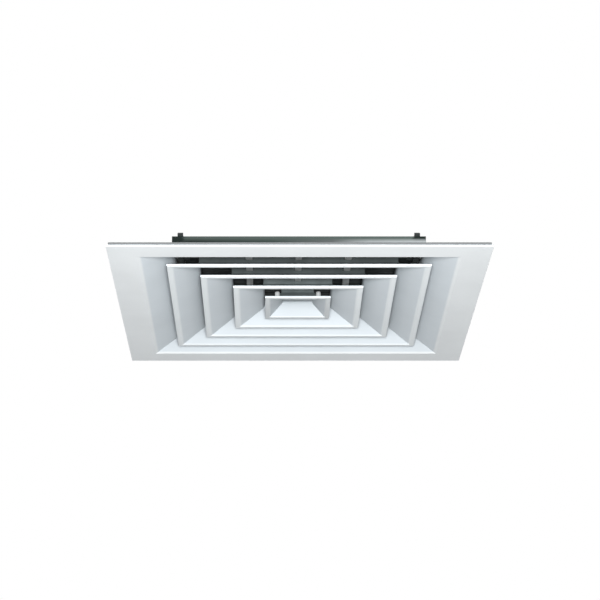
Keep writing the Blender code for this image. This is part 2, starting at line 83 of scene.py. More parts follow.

# The corner keys' rivets
RIVET_RADIUS = 0.0021
RIVET_RISE = 0.0011
RIVET_INSET = 0.0054  # from the key's outer edges
RIVET_LEG = 0.024  # from the key's corner along each leg
RIVET_SINK = 0.0002  # how far a rivet goes down into its key

# The damper's screws
HEAD_DOME = ((0.0, 0.0), (0.45, 0.00012), (0.8, 0.00055), (0.97, 0.0011))  # share of radius, drop
HEAD_HEIGHT = 0.0017
PLAIN_SHANK = 0.0008  # between the head and the first thread
SHANK_RADIUS = 0.0016
ROOT_RADIUS = 0.00132
POINT_RADIUS = 0.0008
THREADS = 7
TURNING_STEPS = 28
CROSS_LENGTH = 1.15  # of the recess, as a share of the head's radius
CROSS_WIDTH = 0.26
CROSS_TAPER = 0.45  # length at the bottom of the recess, as a share of that at its top

# Stage
FLOOR_HALF_WIDTH = 50.0
FLOOR_TONES = ((0.3, (0.80, 0.80, 0.80)), (0.7, (0.83, 0.83, 0.83)))
FLOOR_PALENESS = 0.8  # brightness that the floor has where it is looked at
FLOOR_PALE_SHARE = 0.85  # the rest is the lit floor, with the outlet's shadow
FILL_TINT = (0.93, 0.97, 1.0, 1.0)
WHITE = (1.0, 1.0, 1.0)


def names_with(start):
    """The outlet's parts whose names start like this, in order. Without any, the operator stops."""
    names = sorted(name for name in NODES if name.startswith(start))
    if not names:
        raise RuntimeError(f"the outlet has no part whose name starts with {start}")
    return names


# Sizes and colours that a user would change

class OutletPaint(bpy.types.PropertyGroup):
    """The white coat of the frame and the cones"""

    colour: bpy.props.FloatVectorProperty(
        name="Paint", description="Colour of the powder coat", subtype="COLOR", size=3,
        default=(0.885, 0.93, 0.95), min=0.0, max=1.0,
    )
    # Painted shade tints: the coat is greyed above the lips and is darkest by the collars, where
    # shade falls inside the cones
    slope_shade: bpy.props.FloatVectorProperty(
        name="Slope shade", description="Painted shade on the slopes above the lips",
        subtype="COLOR", size=3, default=(0.805, 0.838, 0.868), min=0.0, max=1.0,
    )
    collar_shade: bpy.props.FloatVectorProperty(
        name="Collar shade", description="Deepest painted shade, by the collars",
        subtype="COLOR", size=3, default=(0.50, 0.53, 0.55), min=0.0, max=1.0,
    )
    lip_coat: bpy.props.FloatVectorProperty(
        name="Lip coat", description="Tint of the coat on the cones' lips", subtype="COLOR",
        size=3, default=(0.98, 0.995, 1.0), min=0.0, max=1.0,
    )
    # Painted shade: the cones' slopes are a little darker than the frame's, to stand in for the
    # cones getting less light
    cone_shade: bpy.props.FloatProperty(
        name="Cone shade", description="Share of the paint's lightness on the cones' slopes",
        default=0.97, min=0.0, max=1.0,
    )
    # Painted shade: the smallest cone and the centre plate, deepest inside the outlet, are darkened
    # to stand in for the shade there
    inner_shade: bpy.props.FloatProperty(
        name="Inner shade",
        description="Share of the paint's lightness on the smallest cone and the centre plate",
        default=0.78, min=0.0, max=1.0,
    )
    roughness: bpy.props.FloatProperty(
        name="Roughness", description="Roughness of the powder coat", default=0.42,
        min=0.0, max=1.0,
    )
    peel: bpy.props.FloatProperty(
        name="Orange peel", description="Height of the coat's fine ripple", default=0.00002,
        min=0.0, max=0.001, unit="LENGTH", precision=6,
    )
    edge_radius: bpy.props.FloatProperty(
        name="Edge radius", description="Rounding of painted sheet edges", default=0.00035,
        min=0.0, max=0.001, unit="LENGTH", precision=5,
    )
    weld_reach: bpy.props.FloatProperty(
        name="Weld reach",
        description="How far each painted side reaches into the fine gap at its mitres",
        default=0.00013, min=0.0, max=0.00015, unit="LENGTH", precision=5,
    )
    # Painted shade: the cones' backs over the lips, which lie in shade, are painted dark grey
    back_shade: bpy.props.FloatVectorProperty(
        name="Back shade", description="Painted shade on the cones' backs",
        subtype="COLOR", size=3, default=(0.056, 0.066, 0.067), min=0.0, max=1.0,
    )
    # Painted light: the back shade is lighter on the two inner cones, to stand in for the light
    # that reaches them
    inner_back_light: bpy.props.FloatProperty(
        name="Inner back light",
        description="How much lighter the painted back shade is on the two inner cones",
        default=1.9, min=0.0, max=5.0,
    )
    # Height over which the painted back shade starts
    back_shade_start: bpy.props.FloatProperty(
        name="Lip top", description="Height up to which the cones' outsides are coated white",
        default=0.0034, min=0.0, max=0.02, unit="LENGTH", precision=4,
    )


class OutletMetal(bpy.types.PropertyGroup):
    """The bare and plated metal parts"""

    aluminium: bpy.props.FloatVectorProperty(
        name="Aluminium", description="Colour of bare aluminium", subtype="COLOR", size=3,
        default=(0.60, 0.62, 0.62), min=0.0, max=1.0,
    )
    zinc: bpy.props.FloatVectorProperty(
        name="Zinc", description="Colour of zinc-plated steel", subtype="COLOR", size=3,
        default=(0.52, 0.53, 0.55), min=0.0, max=1.0,
    )
    # The near rail's top few millimetres take their own colour, which lightens toward +X as part of
    # the painted reflection
    rail_top: bpy.props.FloatVectorProperty(
        name="Rail, top", description="Colour along the top of the near rail",
        subtype="COLOR", size=3, default=(0.06, 0.077, 0.071), min=0.0, max=1.0,
    )
    # Dark end of the near rail's painted reflection, also the black at the ends of its top band
    rail_dark: bpy.props.FloatVectorProperty(
        name="Rail, dark end", description="Colour of the near rail's lower part where it is dark",
        subtype="COLOR", size=3, default=(0.012, 0.018, 0.016), min=0.0, max=1.0,
    )
    # Painted reflection: the near rail's lower part brightens toward +X like bare metal mirroring
    # its surroundings
    rail_reflection: bpy.props.FloatVectorProperty(
        name="Rail, bright end",
        description="Colour of the near rail's lower part where its painted reflection is bright",
        subtype="COLOR", size=3, default=(0.51, 0.55, 0.56), min=0.0, max=1.0,
    )
    side_rail: bpy.props.FloatVectorProperty(
        name="Side rails", description="Colour of the damper frame's other three rails",
        subtype="COLOR", size=3, default=(0.24, 0.26, 0.255), min=0.0, max=1.0,
    )
    strap_edge: bpy.props.FloatProperty(
        name="Strap edge", description="Rounding of the straps' edges", default=0.0003,
        min=0.0, max=0.001, unit="LENGTH", precision=5,
    )
    fitting_edge: bpy.props.FloatProperty(
        name="Fitting edge", description="Rounding of the studs, the forks and the corner keys",
        default=0.0002, min=0.0, max=0.001, unit="LENGTH", precision=5,
    )
    rail_edge: bpy.props.FloatProperty(
        name="Rail edge", description="Rounding of the damper rails' edges", default=0.00025,
        min=0.0, max=0.001, unit="LENGTH", precision=5,
    )


class OutletDamper(bpy.types.PropertyGroup):
    """The damper's blades and screws, and the foam ring"""

    blade_colour: bpy.props.FloatVectorProperty(
        name="Blades", description="Colour of the moulded blades", subtype="COLOR", size=3,
        default=(0.018, 0.021, 0.021), min=0.0, max=1.0,
    )
    foam_colour: bpy.props.FloatVectorProperty(
        name="Foam", description="Colour of the foam ring", subtype="COLOR", size=3,
        default=(0.17, 0.18, 0.185), min=0.0, max=1.0,
    )
    foam_edge: bpy.props.FloatProperty(
        name="Foam edge", description="Rounding of the foam ring's edges", default=0.0007,
        min=0.0, max=0.001, unit="LENGTH", precision=5,
    )
    blade_edge: bpy.props.FloatProperty(
        name="Blade edge", description="Rounding of the blades' edges and teeth",
        default=0.00018, min=0.0, max=0.001, unit="LENGTH", precision=5,
    )
    recess_depth: bpy.props.FloatProperty(
        name="Screw recess", description="Depth of the cross recess in each screw's head",
        default=0.0009, min=0.0, max=0.003, unit="LENGTH", precision=5,
    )


class OutletStage(bpy.types.PropertyGroup):
    """The camera, the floor and the lamps"""

    eye: bpy.props.FloatVectorProperty(
        name="Camera place", description="Where the camera stands", subtype="TRANSLATION", size=3,
        default=(-0.0317, -2.3247, -0.784), unit="LENGTH",
    )
    look_up: bpy.props.FloatProperty(
        name="Look up", description="Tilt of the camera above the horizon", subtype="ANGLE",
        default=math.radians(18.9),
    )
    shift: bpy.props.FloatProperty(
        name="Shift",
        description="Sideways shift of the lens, as a share of the picture's width",
        default=0.0458, min=-0.2, max=0.2, precision=4,
    )
    lens: bpy.props.FloatProperty(
        name="Lens", description="Focal length on a 36 mm sensor", default=116.1,
        min=20.0, max=300.0, subtype="DISTANCE_CAMERA",
    )
    floor_drop: bpy.props.FloatProperty(
        name="Floor below face", description="Distance from the outlet's face down to the floor",
        default=3.0, min=0.1, max=5.0, unit="LENGTH",
    )
    key_power: bpy.props.FloatProperty(
        name="Front lamp", description="Power of the soft lamp low in front", default=77.0,
        min=0.0, max=500.0, unit="POWER",
    )
    back_power: bpy.props.FloatProperty(
        name="Back lamp", description="Power of the weak soft lamp low behind", default=6.0,
        min=0.0, max=500.0, unit="POWER",
    )
    top_power: bpy.props.FloatProperty(
        name="Top lamp", description="Power of the soft lamp over the outlet's back",
        default=30.0, min=0.0, max=500.0, unit="POWER",
    )
    fill: bpy.props.FloatProperty(
        name="Fill", description="Strength of the even light from all round", default=0.05,
        min=0.0, max=3.0,
    )


# Steps that the finishes are wired from

def new_material(name):
    """An empty material, its node tree and its Principled shader."""
    material = bpy.data.materials.new(name)
    material.use_nodes = True
    return material, material.node_tree, material.node_tree.nodes["Principled BSDF"]


def add_coordinates(tree, stretch=(1.0, 1.0, 1.0)):
    """Object coordinates in metres, scaled along each axis."""
    place = tree.nodes.new("ShaderNodeTexCoord")
    mapping = tree.nodes.new("ShaderNodeMapping")
    mapping.inputs["Scale"].default_value = stretch
    tree.links.new(place.outputs["Object"], mapping.inputs["Vector"])
    return mapping.outputs["Vector"]


def add_axes(tree, vector):
    """The coordinates one by one, under X, Y and Z."""
    axes = tree.nodes.new("ShaderNodeSeparateXYZ")
    tree.links.new(vector, axes.inputs["Vector"])
    return axes.outputs


def add_noise(tree, vector, scale, detail=3.0, roughness=0.5):
    """Soft noise, about 0.5 on average."""
    noise = tree.nodes.new("ShaderNodeTexNoise")
    noise.inputs["Scale"].default_value = scale
    noise.inputs["Detail"].default_value = detail
    noise.inputs["Roughness"].default_value = roughness
    tree.links.new(vector, noise.inputs["Vector"])
    return noise.outputs["Fac"]


def add_cells(tree, vector, scale):
    """Distance from the middle of the nearest cell."""
    cells = tree.nodes.new("ShaderNodeTexVoronoi")
    cells.inputs["Scale"].default_value = scale
    tree.links.new(vector, cells.inputs["Vector"])
    return cells.outputs["Distance"]


def add_range(tree, value, low, high, start=0.3, end=0.7):
    """Spreads what lies between start and end over the range from low to high."""
    spread = tree.nodes.new("ShaderNodeMapRange")
    spread.inputs["From Min"].default_value = start
    spread.inputs["From Max"].default_value = end
    spread.inputs["To Min"].default_value = low
    spread.inputs["To Max"].default_value = high
    tree.links.new(value, spread.inputs["Value"])
    return spread.outputs["Result"]


def add_math(tree, operation, *values, clamp=False):
    """One step of arithmetic on sockets and plain numbers."""
    step = tree.nodes.new("ShaderNodeMath")
    step.operation = operation
    step.use_clamp = clamp
    for socket, value in zip(step.inputs, values):
        if isinstance(value, float):
            socket.default_value = value
        else:
            tree.links.new(value, socket)
    return step.outputs["Value"]


def add_colours(tree, value, stops):
    """A ramp through (position, colour) stops."""
    ramp = tree.nodes.new("ShaderNodeValToRGB")
    elements = ramp.color_ramp.elements
    while len(elements) < len(stops):
        elements.new(0.5)
    for element, (position, colour) in zip(elements, stops):
        element.position = position
        element.color = (*colour, 1.0)
    tree.links.new(value, ramp.inputs["Fac"])
    return ramp.outputs["Color"]


def add_blend(tree, below, over, share=None):
    """Lays one colour over another by a share, or multiplies the two where none is given."""
    blend = tree.nodes.new("ShaderNodeMix")
    blend.data_type = "RGBA"
    if share is None:
        blend.blend_type = "MULTIPLY"
        blend.inputs["Factor"].default_value = 1.0
    else:
        tree.links.new(share, blend.inputs["Factor"])
    tree.links.new(below, blend.inputs["A"])
    tree.links.new(over, blend.inputs["B"])
    return blend.outputs["Result"]


def add_bump(tree, shader, height, distance):
    """Fine relief on the shader."""
    bump = tree.nodes.new("ShaderNodeBump")
    bump.inputs["Distance"].default_value = distance
    tree.links.new(height, bump.inputs["Height"])
    tree.links.new(bump.outputs["Normal"], shader.inputs["Normal"])


def looked_at(tree):
    """1 where a surface is looked at, also as a reflection or through glass, and 0 for light."""
    rays = tree.nodes.new("ShaderNodeLightPath").outputs
    seen = add_math(tree, "ADD", rays["Is Camera Ray"], rays["Is Glossy Ray"])
    return add_math(tree, "ADD", seen, rays["Is Transmission Ray"], clamp=True)


def set_surface(tree, output, share, lit, pale):
    """Ends a tree in two shaders, the second by this share."""
    mix = tree.nodes.new("ShaderNodeMixShader")
    tree.links.new(share, mix.inputs["Fac"])
    tree.links.new(lit, mix.inputs[1])
    tree.links.new(pale, mix.inputs[2])
    tree.links.new(mix.outputs["Shader"], tree.nodes[output].inputs["Surface"])


def shade(colour, factor):
    """A colour made lighter or darker."""
    return tuple(min(1.0, channel * factor) for channel in colour)


def tones(colour, first, last, start=0.3, end=0.7):
    """The two stops of a ramp between two shades of one colour."""
    return (start, shade(colour, first)), (end, shade(colour, last))


# Finishes

def powder_coat(name, paint, lip=WHITE, shade_share=1.0):
    """White powder coat: orange peel and slight clouds, with painted shade that greys it toward the
    neck.
    """
    material, tree, shader = new_material(name)
    shader.inputs["Specular IOR Level"].default_value = 0.12
    place = add_coordinates(tree)
    clouds = add_noise(tree, place, scale=14.0, detail=2.0)
    clouded = add_colours(tree, clouds, tones(paint.colour, 0.975, 1.015, start=0.35, end=0.65))
    height = add_range(tree, add_axes(tree, place)["Z"], 0.0, 1.0, start=0.0, end=SHADE_HEIGHT)
    # Painted shade: the coat greys with height above the lips and is darkest by the collars, where
    # the cones shade each other
    painted_shade = add_colours(tree, height, (
        (0.05, lip),
        (0.10, shade(paint.slope_shade, shade_share)),
        (0.36, shade(paint.slope_shade, shade_share * 0.94)),
        (1.0, shade(paint.collar_shade, shade_share)),
    ))
    tree.links.new(add_blend(tree, clouded, painted_shade), shader.inputs["Base Color"])
    mottle = add_noise(tree, place, scale=160.0)
    gloss = add_range(tree, mottle, paint.roughness - 0.05, paint.roughness + 0.05)
    tree.links.new(gloss, shader.inputs["Roughness"])
    add_bump(tree, shader, add_noise(tree, place, scale=900.0, detail=1.5), paint.peel)
    return material


def painted_back_shade(name, colour):
    """Painted shade in dark grey, with a cloudy tone."""
    material, tree, shader = new_material(name)
    place = add_coordinates(tree)
    clouds = add_noise(tree, place, scale=45.0, detail=4.0, roughness=0.6)
    tree.links.new(add_colours(tree, clouds, tones(colour, 0.8, 1.2)), shader.inputs["Base Color"])
    grain = add_noise(tree, place, scale=700.0, detail=2.0)
    tree.links.new(add_range(tree, grain, 0.6, 0.75), shader.inputs["Roughness"])
    add_bump(tree, shader, grain, FINE_RELIEF)
    return material


def drawn_metal(name, colour, stretch, roughness=0.34):
    """Bare metal dulled by its oxide, with fine lines along the direction it was drawn in."""
    material, tree, shader = new_material(name)
    shader.inputs["Metallic"].default_value = 0.45
    lines = add_noise(tree, add_coordinates(tree, stretch), scale=260.0, detail=4.0, roughness=0.6)
    toned = add_colours(tree, lines, tones(colour, 0.86, 1.08))
    tree.links.new(toned, shader.inputs["Base Color"])
    gloss = add_range(tree, lines, roughness - 0.08, roughness + 0.12)
    tree.links.new(gloss, shader.inputs["Roughness"])
    add_bump(tree, shader, lines, FINE_RELIEF)
    return material


def zinc_plate(name, colour):
    """Zinc-plated steel, with the faint spangle of its crystals."""
    material, tree, shader = new_material(name)
    shader.inputs["Metallic"].default_value = 1.0
    crystals = add_cells(tree, add_coordinates(tree), scale=420.0)
    depth = add_range(tree, crystals, 0.0, 1.0, start=0.0, end=0.8)
    toned = add_colours(tree, depth, tones(colour, 1.08, 0.84, start=0.0, end=1.0))
    tree.links.new(toned, shader.inputs["Base Color"])
    gloss = add_range(tree, depth, 0.32, 0.5, start=0.0, end=1.0)
    tree.links.new(gloss, shader.inputs["Roughness"])
    return material


def painted_reflection_rail(metal):
    """Near rail: painted reflection in a band that brightens from black toward +X, under a top band
    that is black at its ends.
    """
    material, tree, shader = new_material("damper_rail_painted_reflection")
    shader.inputs["Metallic"].default_value = 0.3
    shader.inputs["Specular IOR Level"].default_value = 0.2
    low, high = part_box("damper_rail_near")
    axes = add_axes(tree, add_coordinates(tree))
    streaks = add_noise(tree, add_coordinates(tree, (0.06, 0.06, 1.0)), scale=900.0)
    across = add_range(tree, axes["X"], 0.0, 1.0, start=low.x, end=high.x)
    wander = add_math(tree, "MULTIPLY_ADD", streaks, 0.06, across)
    # Painted reflection: black at -X, bright at +X
    reflection_band = add_colours(tree, wander, (
        (0.10, metal.rail_dark),
        (0.42, shade(metal.rail_dark, 3.2)),
        (0.66, shade(metal.rail_reflection, 0.26)),
        (0.80, shade(metal.rail_reflection, 0.85)),
        (1.0, metal.rail_reflection),
    ))
    # A separate band along the top, black at its ends; its lightening toward +X is painted
    # reflection
    top_band = add_colours(tree, wander, (
        (0.068, metal.rail_dark),
        (0.080, metal.rail_top),
        (0.972, shade(metal.rail_top, 1.35)),
        (0.984, metal.rail_dark),
    ))
    rise = add_range(tree, axes["Z"], 0.0, 1.0, start=high.z - TOP_BAND_START, end=high.z - TOP_BAND_FULL)
    tree.links.new(add_blend(tree, reflection_band, top_band, rise), shader.inputs["Base Color"])
    tree.links.new(add_range(tree, streaks, 0.44, 0.6), shader.inputs["Roughness"])
    add_bump(tree, shader, streaks, FINE_RELIEF)
    return material


def moulded_plastic(damper):
    """Black plastic with the fine grain of its mould."""
    material, tree, shader = new_material("black_moulded_plastic")
    grain = add_noise(tree, add_coordinates(tree), scale=1500.0, detail=2.0)
    toned = add_colours(tree, grain, tones(damper.blade_colour, 1.0, 1.5))
    tree.links.new(toned, shader.inputs["Base Color"])
    tree.links.new(add_range(tree, grain, 0.4, 0.58), shader.inputs["Roughness"])
    add_bump(tree, shader, grain, PLASTIC_RELIEF)
    return material


def cellular_foam(damper):
    """Closed-cell foam, with its small cells in tone and relief."""
    material, tree, shader = new_material("grey_foam_ring")
    cells = add_cells(tree, add_coordinates(tree), scale=900.0)
    toned = add_colours(tree, cells, tones(damper.foam_colour, 0.72, 1.1, start=0.0))
    tree.links.new(toned, shader.inputs["Base Color"])
    shader.inputs["Roughness"].default_value = 0.95
    add_bump(tree, shader, cells, FOAM_RELIEF)
    return material


# Shapes

def add_piece(bm, name, body, material):
    """Turns a bmesh into a finished piece on a body. Flat faces stay flat by rounded edges."""
    mesh = bpy.data.meshes.new(name)
    bm.to_mesh(mesh)
    bm.free()
    mesh.shade_smooth()
    mesh.set_sharp_from_angle(angle=SMOOTH_BELOW)
    mesh.materials.append(material)
    piece = bpy.data.objects.new(name, mesh)
    bpy.context.scene.collection.objects.link(piece)
    level = piece.modifiers.new("flat_faces", "WEIGHTED_NORMAL")
    level.keep_sharp = True
    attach(piece, body)
    return piece


def welded_copy(name):
    """The part's mesh with its flat faces whole again, ready for rounding."""
    bm = bmesh.new()
    bm.from_mesh(NODES[name].data)
    bmesh.ops.remove_doubles(bm, verts=bm.verts, dist=MERGE_REACH)
    bmesh.ops.dissolve_limit(bm, angle_limit=FLAT_WITHIN, verts=bm.verts, edges=bm.edges)
    return bm


def is_mitre(normal):
    """True for the normal of an end face that is cut at 45 degrees in plan."""
    return abs(normal.z) < 0.01 and abs(abs(normal.x) - abs(normal.y)) < 0.01


def close_mitres(bm, name, reach):
    """Lengthens a side by this much at each end, so that its corners meet as if welded."""
    along = 0 if name.endswith(("near", "far")) else 1
    mitres = [face for face in bm.faces if is_mitre(face.normal)]
    moved = {vert: face.normal[along] for face in mitres for vert in face.verts}
    for vert, outward in moved.items():
        vert.co[along] += math.copysign(reach, outward)


def round_node(name, radius, material, sharper_than=ROUND_ABOVE, reach=0.0):
    """Replaces a part by a copy whose sharp edges are rounded, except at its mitres."""
    bm = welded_copy(name)
    if reach:
        close_mitres(bm, name, reach)
    mitres = {face for face in bm.faces if is_mitre(face.normal)}
    sharp = [
        edge for edge in bm.edges
        if edge.is_manifold and edge.calc_face_angle(0.0) > sharper_than
        and not mitres.intersection(edge.link_faces)
    ]
    bmesh.ops.bevel(
        bm, geom=sharp, offset=radius, offset_type="OFFSET", segments=ROUND_STEPS, profile=0.5,
        affect="EDGES", clamp_overlap=True, miter_outer="ARC",
    )
    bmesh.ops.triangulate(bm, faces=bm.faces)
    piece = add_piece(bm, f"{name}_finished", BODY_OF[name], material)
    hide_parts(name)
    return piece


# Operators, one for each group of pieces

class OUTLET_OT_frame(bpy.types.Operator):
    """Round the edges of the flanged frame and coat it"""

    bl_idname = "outlet.frame"
    bl_label = "Frame"

    def execute(self, context):
        paint = context.scene.outlet_paint
        coat = powder_coat("frame_shaded_coat", paint)
        for name in names_with("frame_rail_"):
            round_node(name, paint.edge_radius, coat, reach=paint.weld_reach)
        return {"FINISHED"}


class OUTLET_OT_cones(bpy.types.Operator):
    """Round the edges of the louvre cones and the centre plate, and coat them, with painted shade
    on their slopes and backs
    """

    bl_idname = "outlet.cones"
    bl_label = "Louvre Cones"

    def execute(self, context):
        paint = context.scene.outlet_paint
        # The cones' coat carries painted shade on its slopes, a little darker than the frame's
        outer = powder_coat("cone_shaded_coat", paint, paint.lip_coat, paint.cone_shade)
        # Painted shade: the smallest cone and the centre plate get a darker copy of the coat, lips
        # included
        shaded_inner_lip = shade(paint.lip_coat, paint.inner_shade)
        inner = powder_coat("inner_shaded_coat", paint, shaded_inner_lip, paint.inner_shade)
        # Painted shade: dark grey on the backs of the two outer cones
        dark = painted_back_shade("outer_back_shade", paint.back_shade)
        # Painted light within the painted shade: a lighter copy for the backs of the two inner
        # cones
        lighter = painted_back_shade("inner_back_shade", shade(paint.back_shade, paint.inner_back_light))
        round_node("centre_plate", paint.edge_radius, inner)
        for name in names_with("cone_"):
            coat = inner if name.startswith("cone_4") else outer
            # Painted shade on each cone's back, lighter on the two inner cones
            back_shade_coat = lighter if name.startswith(("cone_3", "cone_4")) else dark
            cone = round_node(
                name, paint.edge_radius, coat, reach=paint.weld_reach
            )
            self.paint_back_shade(cone.data, back_shade_coat, paint.back_shade_start)
        return {"FINISHED"}

    def paint_back_shade(self, mesh, back_shade_coat, back_shade_start):
        """Gives the painted back shade to a cone's outside over the lip, its upper edges and
        mitres.
        """
        mesh.materials.append(back_shade_coat)
        for face in mesh.polygons:
            normal = face.normal
            outward = normal.x * face.center.x + normal.y * face.center.y
            if face.center.z > back_shade_start and (normal.z > 0.1 or outward > 0.0 or is_mitre(normal)):
                face.material_index = 1


class OUTLET_OT_core_fittings(bpy.types.Operator):
    """Finish the straps and studs of the core and the forks that hold it"""

    bl_idname = "outlet.core_fittings"
    bl_label = "Core Fittings"

    def execute(self, context):
        metal = context.scene.outlet_metal
        drawn = drawn_metal("strap_aluminium", metal.aluminium, stretch=(1.0, 0.04, 1.0))
        for name in names_with("core_strap_"):
            round_node(name, metal.strap_edge, drawn)
        turned = drawn_metal("stud_aluminium", metal.aluminium, stretch=(1.0, 1.0, 0.1))
        rim = math.radians(50)
        for name in names_with("core_stud_"):
            round_node(name, metal.fitting_edge, turned, sharper_than=rim)
        spring = zinc_plate("fork_spring_steel", metal.zinc)
        for name in names_with("core_fork_"):
            round_node(name, metal.fitting_edge, spring)
        return {"FINISHED"}


class OUTLET_OT_flange_back(bpy.types.Operator):
    """Finish the corner keys and the foam ring on the back of the flange, and add the rivets"""

    bl_idname = "outlet.flange_back"
    bl_label = "Flange Back"

    def execute(self, context):
        metal = context.scene.outlet_metal
        damper = context.scene.outlet_damper
        plated = zinc_plate("key_zinc_plate", metal.zinc)
        for name in names_with("corner_key_"):
            round_node(name, metal.fitting_edge, plated)
            self.add_rivets(name, plated)
        round_node("gasket", damper.foam_edge, cellular_foam(damper))
        return {"FINISHED"}

    def add_rivets(self, key, material):
        """One domed rivet near the end of each leg of a corner key."""
        low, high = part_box(key)
        side_x = 1 if low.x > 0 else -1
        side_y = 1 if low.y > 0 else -1
        outer_x = high.x if side_x > 0 else low.x
        outer_y = high.y if side_y > 0 else low.y
        flatten = Matrix.Diagonal((1.0, 1.0, RIVET_RISE / RIVET_RADIUS, 1.0))
        bm = bmesh.new()
        for x, y in (
            (outer_x - side_x * RIVET_INSET, outer_y - side_y * RIVET_LEG),
            (outer_x - side_x * RIVET_LEG, outer_y - side_y * RIVET_INSET),
        ):
            made = bmesh.ops.create_uvsphere(
                bm, u_segments=20, v_segments=12, radius=RIVET_RADIUS,
                matrix=Matrix.Translation((x, y, high.z)) @ flatten,
            )
            below = [vert for vert in made["verts"] if vert.co.z < high.z - RIVET_SINK]
            bmesh.ops.delete(bm, geom=below, context="VERTS")
        open_edges = [edge for edge in bm.edges if edge.is_boundary]
        bmesh.ops.holes_fill(bm, edges=open_edges, sides=0)
        add_piece(bm, f"rivets_{key}", "frame", material)


class OUTLET_OT_damper_frame(bpy.types.Operator):
    """Finish the damper's rails and replace its screws by ones with a cross recess"""

    bl_idname = "outlet.damper_frame"
    bl_label = "Damper Frame"

    def execute(self, context):
        metal = context.scene.outlet_metal
        front = painted_reflection_rail(metal)
        plain = drawn_metal(
            "damper_side_metal", metal.side_rail, stretch=(0.06, 0.06, 1.0), roughness=0.46
        )
        for name in names_with("damper_rail_"):
            finish = front if name.endswith("_near") else plain
            round_node(name, metal.rail_edge, finish)
        plated = zinc_plate("screw_zinc_plate", metal.zinc)
        for name in names_with("damper_screw_"):
            self.add_screw(name, plated, context.scene.outlet_damper.recess_depth)
        return {"FINISHED"}

    def add_screw(self, name, material, depth):
        """A pan-head screw turned to the old one's size, with a cross sunk into its head."""
        low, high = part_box(name)
        side = 1 if low.x > 0 else -1
        middle = (low + high) / 2
        length = high.x - low.x
        radius = (high.z - low.z) / 2
        first_thread = -HEAD_HEIGHT - PLAIN_SHANK
        pitch = (length + first_thread) / THREADS
        # Points of the outline: distance from the axis, and height over the head's top
        profile = [(radius * share, -drop) for share, drop in HEAD_DOME]
        profile += [(radius, -HEAD_HEIGHT), (SHANK_RADIUS, -HEAD_HEIGHT)]
        for turn in range(THREADS):
            root = first_thread - pitch * turn
            profile += [(ROOT_RADIUS, root), (SHANK_RADIUS, root - pitch / 2)]
        profile += [(POINT_RADIUS, -length), (0.0, -length)]
        bm = bmesh.new()
        path = [bm.verts.new((across, 0.0, along)) for across, along in profile]
        edges = [bm.edges.new(pair) for pair in zip(path, path[1:])]
        bmesh.ops.spin(
            bm, geom=path + edges, cent=(0, 0, 0), axis=(0, 0, 1), angle=2 * math.pi,
            steps=TURNING_STEPS, use_merge=True,
        )
        bmesh.ops.remove_doubles(bm, verts=bm.verts, dist=MERGE_REACH / 2)
        bmesh.ops.recalc_face_normals(bm, faces=bm.faces)
        top = high.x if side > 0 else low.x
        lying = Matrix.Rotation(side * math.pi / 2, 4, "Y")
        matrix = Matrix.Translation((top, middle.y, middle.z)) @ lying
        bmesh.ops.transform(bm, matrix=matrix, verts=bm.verts)
        screw = add_piece(bm, f"{name}_finished", "frame", material)
        self.cut_cross(screw, matrix, radius, depth)
        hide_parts(name)

    def cut_cross(self, screw, matrix, radius, depth):
        """Sinks a tapered cross into the head."""
        bm = bmesh.new()
        for turn in (0.0, math.pi / 2):
            place = matrix @ Matrix.Rotation(turn, 4, "Z")
            made = bmesh.ops.create_cube(bm, size=1.0)
            for vert in made["verts"]:
                taper = 1.0 if vert.co.z > 0 else CROSS_TAPER
                vert.co = place @ Vector((
                    vert.co.x * radius * CROSS_LENGTH * taper,
                    vert.co.y * radius * CROSS_WIDTH,
                    vert.co.z * depth * 2,
                ))
        mesh = bpy.data.meshes.new("cross_recess")
        bm.to_mesh(mesh)
        bm.free()
        cutter = bpy.data.objects.new("cross_recess", mesh)
        bpy.context.scene.collection.objects.link(cutter)
        cut = screw.modifiers.new("recess", "BOOLEAN")
        cut.operation = "DIFFERENCE"
        cut.use_self = True
        cut.object = cutter
        bpy.context.view_layer.update()
        graph = bpy.context.evaluated_depsgraph_get()
        result = bpy.data.meshes.new_from_object(screw.evaluated_get(graph))
        screw.modifiers.clear()
        screw.data = result
        result.shade_smooth()
        result.set_sharp_from_angle(angle=SMOOTH_BELOW)
        bpy.data.objects.remove(cutter, do_unlink=True)


class OUTLET_OT_damper_blades(bpy.types.Operator):
    """Round the edges and teeth of the moulded blades and give them their grain"""

    bl_idname = "outlet.damper_blades"
    bl_label = "Damper Blades"

    def execute(self, context):
        damper = context.scene.outlet_damper
        plastic = moulded_plastic(damper)
        corner = math.radians(40)
        for name in names_with("damper_blade_"):
            round_node(name, damper.blade_edge, plastic, sharper_than=corner)
        return {"FINISHED"}


